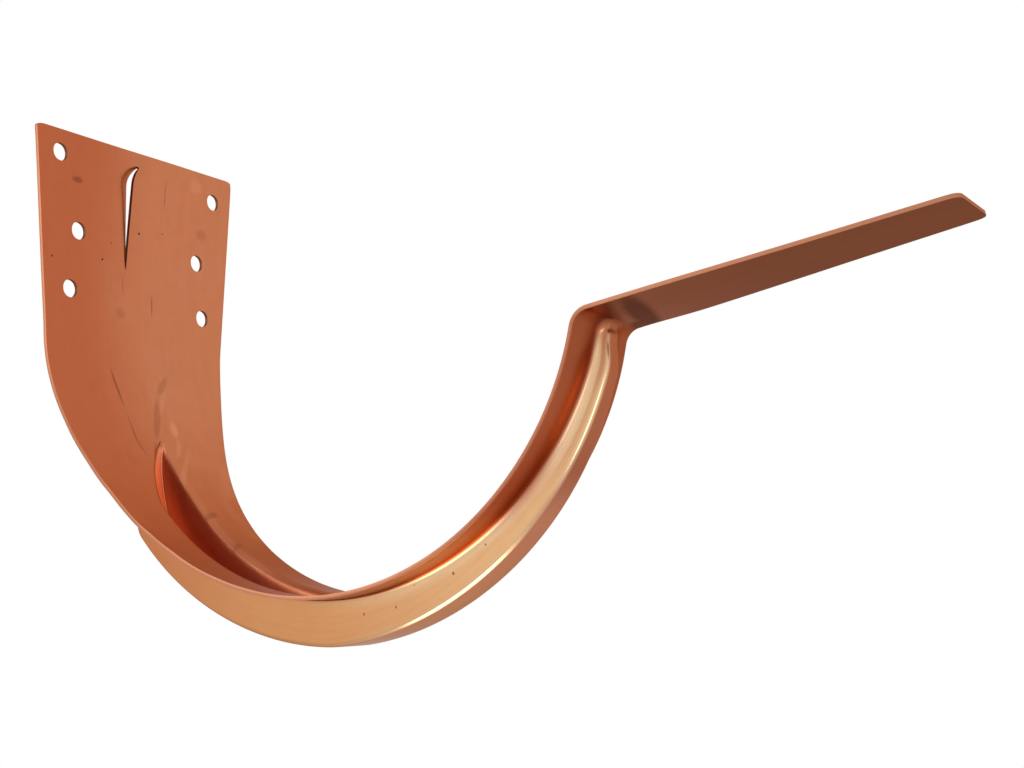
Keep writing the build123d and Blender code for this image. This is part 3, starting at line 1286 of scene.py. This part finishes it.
@dataclass(frozen=True)
class OuterFinish(CopperFinish):
    """The face away from the gutter, with painted light laid into its colour: bead walls partly burnished
    and partly painted highlight, painted highlights on the folds, a painted reflection on the flange, and
    painted shade beside the bead and on the strap.
    """

    flange_tones: tuple[Tone, ...] = ()
    wall_tones: tuple[Tone, ...] = ()
    crest_tones: tuple[Tone, ...] = ()
    # Painted highlights along the bead's folds.
    fold_highlight_tones: tuple[Tone, ...] = ()
    # Painted shade on the flange beside the bead.
    foot: Colour = (0.27, 0.055, 0.021, 1.0)
    # How strongly the fold highlights are painted, and the near side that takes them.
    fold_highlight_strength: float = 0.7
    fold_highlight_side: Point = (-2.5 * MM, 0.0)

    def base(self, graph: ShaderGraph, ground: Ground) -> Any:
        """Mixes the flanges, with painted shade beside the bead, and the bead's walls, crest and folds, with
        painted highlights on the folds.

        Args:
            graph: the material's nodes.
            ground: what the finish reads of the surface.

        Returns:
            The socket that gives the colour.
        """
        # Flange tones, with a painted reflection around 205 mm along and painted shade on the strap's
        # underside.
        flange = graph.tones(ground.along, self.flange_tones)
        # Painted shade on the flange beside the bead.
        flange = graph.mix(ground.foot, flange, self.foot)
        # The bead's walls: paler copper, partly burnished and partly painted highlight.
        colour = graph.mix(ground.wall, flange, graph.tones(ground.along, self.wall_tones))
        colour = graph.mix(ground.crest, colour, graph.tones(ground.along, self.crest_tones))
        # Painted highlights along the near folds of the bead.
        folds = graph.tones(ground.along, self.fold_highlight_tones)
        fold_highlight = ground.fold * (1.0 - ground.across.step(*self.fold_highlight_side)) * self.fold_highlight_strength
        return graph.mix(fold_highlight, colour, folds)


@dataclass(frozen=True)
class CutEdgeFinish(CopperFinish):
    """Sheared edges, pale round the outline and dark inside the holes and the slit."""

    rim_tones: tuple[Tone, ...] = ()
    bore: Colour = (0.15, 0.06, 0.035, 1.0)
    bore_reach: Point = (34.3 * MM, 34.9 * MM)
    bore_top: Point = (1.5 * MM, 2.5 * MM)
    bore_foot: Point = (53.0 * MM, 57.0 * MM)

    def base(self, graph: ShaderGraph, ground: Ground) -> Any:
        """Mixes the edges of the outline and those inside the plate.

        Args:
            graph: the material's nodes.
            ground: what the finish reads of the surface.

        Returns:
            The socket that gives the colour.
        """
        from_middle = (ground.across**2.0) ** 0.5
        below_top = ground.along.step(*self.bore_top)
        above_foot = 1.0 - ground.along.step(*self.bore_foot)
        inside = (1.0 - from_middle.step(*self.bore_reach)) * below_top * above_foot
        return graph.mix(inside, graph.tones(ground.along, self.rim_tones), self.bore)


@dataclass(frozen=True)
class FloorFinish:
    """Pale floor near the hanger, which goes over to the white background further out."""

    name: str = "pale_floor"
    colour: Colour = (0.82, 0.82, 0.81, 1.0)
    fade_start: float = 0.22
    fade_end: float = 0.5

    def material(self, centre: Vector) -> bpy.types.Material:
        """Builds the finish.

        Args:
            centre: the middle of the pale part.

        Returns:
            The material.
        """
        made = bpy.data.materials.new(self.name)
        made.use_nodes = True
        graph = ShaderGraph(made.node_tree)
        solid = graph.node("ShaderNodeTexCoord", {}, {}).outputs["Object"]
        across, along, _ = graph.parts(solid)
        radius = ((across - centre.x) ** 2.0 + (along - centre.y) ** 2.0) ** 0.5
        matt = graph.node("ShaderNodeBsdfDiffuse", {}, {"Color": self.colour})
        glow = graph.node("ShaderNodeEmission", {}, {"Color": WHITE, "Strength": 1.0})
        faded = radius.step(self.fade_start, self.fade_end)
        inputs = {0: faded, 1: matt.outputs[0], 2: glow.outputs[0]}
        surface = graph.node("ShaderNodeMixShader", {}, inputs)
        graph.node("ShaderNodeOutputMaterial", {}, {"Surface": surface.outputs[0]})
        return made


# Studio


@dataclass(frozen=True)
class Softbox:
    """A lamp panel that the camera doesn't see."""

    name: str
    place: Point3
    aim: Point3
    width: float
    height: float
    power: float
    lights_matt: bool = False

    def build(self) -> bpy.types.Object:
        """Hangs the lamp.

        Returns:
            The lamp.
        """
        lamp = bpy.data.lights.new(self.name, "AREA")
        lamp.shape = "RECTANGLE"
        lamp.size = self.width
        lamp.size_y = self.height
        lamp.energy = self.power
        made = bpy.data.objects.new(self.name, lamp)
        gaze = Vector(self.aim) - Vector(self.place)
        turn = gaze.to_track_quat("-Z", "Y").to_matrix().to_4x4()
        made.matrix_world = Matrix.Translation(self.place) @ turn
        made.visible_camera = False
        made.visible_diffuse = self.lights_matt
        bpy.context.scene.collection.objects.link(made)
        return made


@dataclass
class Studio:
    """Floor, white surroundings, lamps and the camera."""

    floor_drop: float = 0.1
    floor_radius: float = 6.0
    floor_sides: int = 96
    room_light: float = 0.95
    target: Vector = field(default_factory=lambda: Vector((0.1, 0.0, -0.03)))
    softboxes: tuple[Softbox, ...] = (
        Softbox("key_softbox", (-0.45, -0.8, 0.25), (0.1, 0.0, -0.03), 0.6, 0.6, 1.6, True),
        Softbox("under_panel", (0.126, -0.002, -0.194), (0.126, -0.001, 0.0), 0.09, 0.18, 0.13),
        Softbox("front_panel", (0.354, -0.121, -0.134), (0.154, -0.005, -0.044), 0.07, 0.12, 0.066),
    )
    camera_place: Vector = field(default_factory=lambda: Vector((0.3042356, -0.3052965, -0.0934494)))
    camera_right: Vector = field(default_factory=lambda: Vector((0.8629178, 0.5045334, -0.0286165)))
    camera_up: Vector = field(default_factory=lambda: Vector((0.1038640, -0.1216532, 0.9871235)))
    lens: float = 50.49
    sensor: float = 36.0

    def floor(self, lowest: float) -> bpy.types.Object:
        """Lays the floor.

        Args:
            lowest: the height of the hanger's lowest point.

        Returns:
            The floor.
        """
        mesh = bmesh.new()
        level = Matrix.Translation((self.target.x, self.target.y, lowest - self.floor_drop))
        bmesh.ops.create_circle(
            mesh, cap_ends=True, segments=self.floor_sides, radius=self.floor_radius, matrix=level
        )
        data = bpy.data.meshes.new("floor")
        mesh.to_mesh(data)
        mesh.free()
        made = bpy.data.objects.new("floor", data)
        data.materials.append(FloorFinish().material(self.target))
        bpy.context.scene.collection.objects.link(made)
        made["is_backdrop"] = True
        return made

    def surroundings(self) -> bpy.types.World:
        """Makes the room: white where it is seen or mirrored, softer as light on the floor.

        Returns:
            The world.
        """
        world = bpy.data.worlds.new("white_room")
        world.use_nodes = True
        graph = ShaderGraph(world.node_tree)
        path = graph.node("ShaderNodeLightPath", {}, {})
        seen = Value(graph, path.outputs["Is Camera Ray"])
        for ray in ("Is Glossy Ray", "Is Transmission Ray"):
            seen = seen.either(Value(graph, path.outputs[ray]))
        strength = self.room_light + (1.0 - self.room_light) * seen
        inputs = {"Color": WHITE, "Strength": strength}
        background = graph.node("ShaderNodeBackground", {}, inputs)
        graph.node("ShaderNodeOutputWorld", {}, {"Surface": background.outputs[0]})
        bpy.context.scene.world = world
        return world

    def camera(self) -> bpy.types.Object:
        """Sets the camera up at the photograph's viewing angle.

        Returns:
            The camera.
        """
        lens = bpy.data.cameras.new("camera")
        lens.sensor_width = self.sensor
        lens.lens = self.lens
        lens.clip_start = 1.0 * MM
        made = bpy.data.objects.new("camera", lens)
        right = self.camera_right.normalized()
        back = right.cross(self.camera_up).normalized()
        up = back.cross(right)
        turn = Matrix((right, up, back)).transposed().to_4x4()
        made.matrix_world = Matrix.Translation(self.camera_place) @ turn
        bpy.context.scene.collection.objects.link(made)
        bpy.context.scene.camera = made
        return made


# The hanger's three faces

# Marks of the inner face: specks, scratches and blotches, then painted shade along its creases and dents.
INNER_MARKS_AND_SHADE = (
    Mark(24.8 * MM, -0.9 * MM, 0.5 * MM, 0.5 * MM),
    Mark(22.8 * MM, 8.7 * MM, 0.3 * MM, 0.3 * MM),
    Mark(35.5 * MM, -14.6 * MM, 0.5 * MM, 0.45 * MM),
    Mark(38.2 * MM, -33.1 * MM, 0.4 * MM, 0.4 * MM),
    Mark(30.0 * MM, -11.6 * MM, 0.3 * MM, 0.28 * MM),
    Mark(10.5 * MM, 8.75 * MM, 6.5 * MM, 0.3 * MM, 0.3),
    Mark(46.0 * MM, 4.85 * MM, 4.2 * MM, 0.35 * MM, 0.45),
    Mark(41.7 * MM, -6.65 * MM, 3.6 * MM, 0.3 * MM, 0.3),
    Mark(14.2 * MM, -25.9 * MM, 1.3 * MM, 2.6 * MM, 0.4),
    Mark(19.5 * MM, 25.6 * MM, 2.4 * MM, 3.2 * MM, 0.16),
    Mark(50.1 * MM, -7.9 * MM, 2.0 * MM, 2.6 * MM, 0.14),
    # Painted shade along the creases and dents, from here to the end of the list.
    Mark(72.5 * MM, -13.0 * MM, 7.5 * MM, 0.6 * MM, 0.42, 0.17),
    Mark(87.0 * MM, -10.7 * MM, 9.0 * MM, 0.5 * MM, 0.3, 0.14),
    Mark(70.0 * MM, 6.0 * MM, 5.2 * MM, 1.5 * MM, 0.22, -0.75),
    Mark(80.8 * MM, 0.2 * MM, 9.5 * MM, 1.7 * MM, 0.24, -0.37),
    Mark(94.0 * MM, -5.6 * MM, 7.5 * MM, 1.5 * MM, 0.3, -0.47),
    Mark(114.5 * MM, 19.6 * MM, 1.4 * MM, 4.2 * MM, 0.25, 0.25),
    Mark(128.4 * MM, 19.1 * MM, 1.2 * MM, 3.2 * MM, 0.22, 0.35),
    Mark(135.5 * MM, 10.0 * MM, 1.3 * MM, 3.4 * MM, 0.22, 0.3),
)
# Painted highlights on the inner face: pale patches on the bump above the groove's tip, beside the creases,
# along the groove and near the plate's top.
INNER_PAINTED_HIGHLIGHTS = (
    Mark(83.6 * MM, 6.2 * MM, 3.4 * MM, 2.2 * MM, 0.9),
    Mark(90.0 * MM, 7.2 * MM, 4.5 * MM, 1.6 * MM, 0.5, 0.2),
    Mark(4.3 * MM, 21.0 * MM, 3.0 * MM, 3.6 * MM, 0.5),
    Mark(76.0 * MM, 3.6 * MM, 6.0 * MM, 1.4 * MM, 0.4, -0.6),
    Mark(108.0 * MM, 12.0 * MM, 24.0 * MM, 2.0 * MM, 0.4, 0.03),
)
OUTER_MARKS = (
    Mark(186.5 * MM, -11.7 * MM, 0.35 * MM, 0.5 * MM, 0.7),
    Mark(195.5 * MM, -10.1 * MM, 0.35 * MM, 0.5 * MM, 0.7),
    Mark(202.0 * MM, -12.8 * MM, 0.35 * MM, 0.4 * MM, 0.4),
    Mark(212.7 * MM, -9.2 * MM, 0.4 * MM, 0.6 * MM, 0.75),
    Mark(223.4 * MM, -9.0 * MM, 0.3 * MM, 0.5 * MM, 0.65),
    Mark(294.0 * MM, 0.0 * MM, 4.2 * MM, 26.0 * MM, 0.78, 0.21),
    Mark(289.5 * MM, 10.0 * MM, 4.0 * MM, 7.0 * MM, 0.7, 0.21),
)


def copper_finishes() -> dict[Face, CopperFinish]:
    """Sets the finish of each face of the sheet.

    Returns:
        The finishes by face.
    """
    inner = InnerFinish(
        "copper_inner",
        marks=INNER_MARKS_AND_SHADE,
        painted_highlights=INNER_PAINTED_HIGHLIGHTS,
        side_reach=(-26.0 * MM, 8.0 * MM),
        near_tones=(
            Tone(95.0 * MM, (0.475, 0.122, 0.050, 1.0)),
            Tone(150.0 * MM, (0.37, 0.10, 0.048, 1.0)),
        ),
        far_tones=(
            Tone(75.0 * MM, (0.55, 0.188, 0.086, 1.0)),
            Tone(105.0 * MM, (0.48, 0.148, 0.064, 1.0)),
            Tone(140.0 * MM, (0.37, 0.112, 0.054, 1.0)),
        ),
    )
    outer = OuterFinish(
        "copper_outer",
        marks=OUTER_MARKS,
        roughness=0.3,
        wall_polish=0.1,
        grazing_tint=(0.62, 0.46, 0.42, 1.0),
        # The flange's tones carry a painted reflection, the orange glow around 205 mm along, and painted
        # shade on the strap's underside past the bend.
        flange_tones=(
            Tone(160.0 * MM, (0.60, 0.24, 0.11, 1.0)),
            Tone(205.0 * MM, (0.82, 0.38, 0.17, 1.0)),
            Tone(240.0 * MM, (0.46, 0.12, 0.055, 1.0)),
            Tone(282.0 * MM, (0.33, 0.088, 0.04, 1.0)),
            Tone(292.0 * MM, (0.235, 0.085, 0.049, 1.0)),
            Tone(335.0 * MM, (0.19, 0.070, 0.038, 1.0)),
        ),
        # The walls' paler, yellower tones are partly burnished copper and partly painted highlight.
        wall_tones=(
            Tone(110.0 * MM, (0.50, 0.18, 0.075, 1.0)),
            Tone(165.0 * MM, (0.62, 0.28, 0.115, 1.0)),
            Tone(235.0 * MM, (0.76, 0.44, 0.215, 1.0)),
            Tone(264.0 * MM, (0.68, 0.39, 0.20, 1.0)),
            Tone(283.0 * MM, (0.44, 0.16, 0.075, 1.0)),
        ),
        crest_tones=(
            Tone(165.0 * MM, (0.50, 0.235, 0.112, 1.0)),
            Tone(200.0 * MM, (0.60, 0.285, 0.14, 1.0)),
            Tone(235.0 * MM, (0.61, 0.26, 0.155, 1.0)),
            Tone(252.0 * MM, (0.40, 0.14, 0.08, 1.0)),
            Tone(278.0 * MM, (0.43, 0.14, 0.065, 1.0)),
        ),
        # Painted highlights along the bead's folds.
        fold_highlight_tones=(
            Tone(165.0 * MM, (0.60, 0.28, 0.12, 1.0)),
            Tone(205.0 * MM, (0.90, 0.66, 0.40, 1.0)),
            Tone(225.0 * MM, (0.90, 0.66, 0.40, 1.0)),
            Tone(240.0 * MM, (0.76, 0.42, 0.27, 1.0)),
            Tone(256.0 * MM, (0.92, 0.70, 0.44, 1.0)),
            Tone(276.0 * MM, (0.90, 0.66, 0.40, 1.0)),
            Tone(285.0 * MM, (0.46, 0.15, 0.07, 1.0)),
        ),
    )
    cut_edge = CutEdgeFinish(
        "copper_cut_edge",
        roughness=0.42,
        rim_tones=(
            Tone(200.0 * MM, (0.50, 0.21, 0.12, 1.0)),
            Tone(235.0 * MM, (0.34, 0.125, 0.07, 1.0)),
            Tone(282.0 * MM, (0.34, 0.125, 0.07, 1.0)),
            Tone(292.0 * MM, (0.46, 0.19, 0.105, 1.0)),
        ),
    )
    return {Face.INNER: inner, Face.OUTER: outer, Face.CUT_EDGE: cut_edge}


def main() -> None:
    """Builds the hanger and its studio."""
    logging.basicConfig(level=logging.INFO, format="%(name)s: %(message)s")
    cad_low, cad_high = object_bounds()
    bpy.context.scene.view_settings.view_transform = "Standard"

    form = HangerForm.from_frame()
    sheet = HangerSheet(form)
    hanger = sheet.build()
    sheet.dress(hanger, copper_finishes())
    log.info("%s: %d rows of %d columns", hanger.name, len(sheet.rows), sheet.column_count)

    studio = Studio()
    floor = studio.floor(cad_low.z)
    log.info("%s laid at %.3f m", floor.name, cad_low.z - studio.floor_drop)
    studio.surroundings()
    for softbox in studio.softboxes:
        log.info("%s hung", softbox.build().name)
    log.info("%s set up", studio.camera().name)


if __name__ == "__main__":
    main()
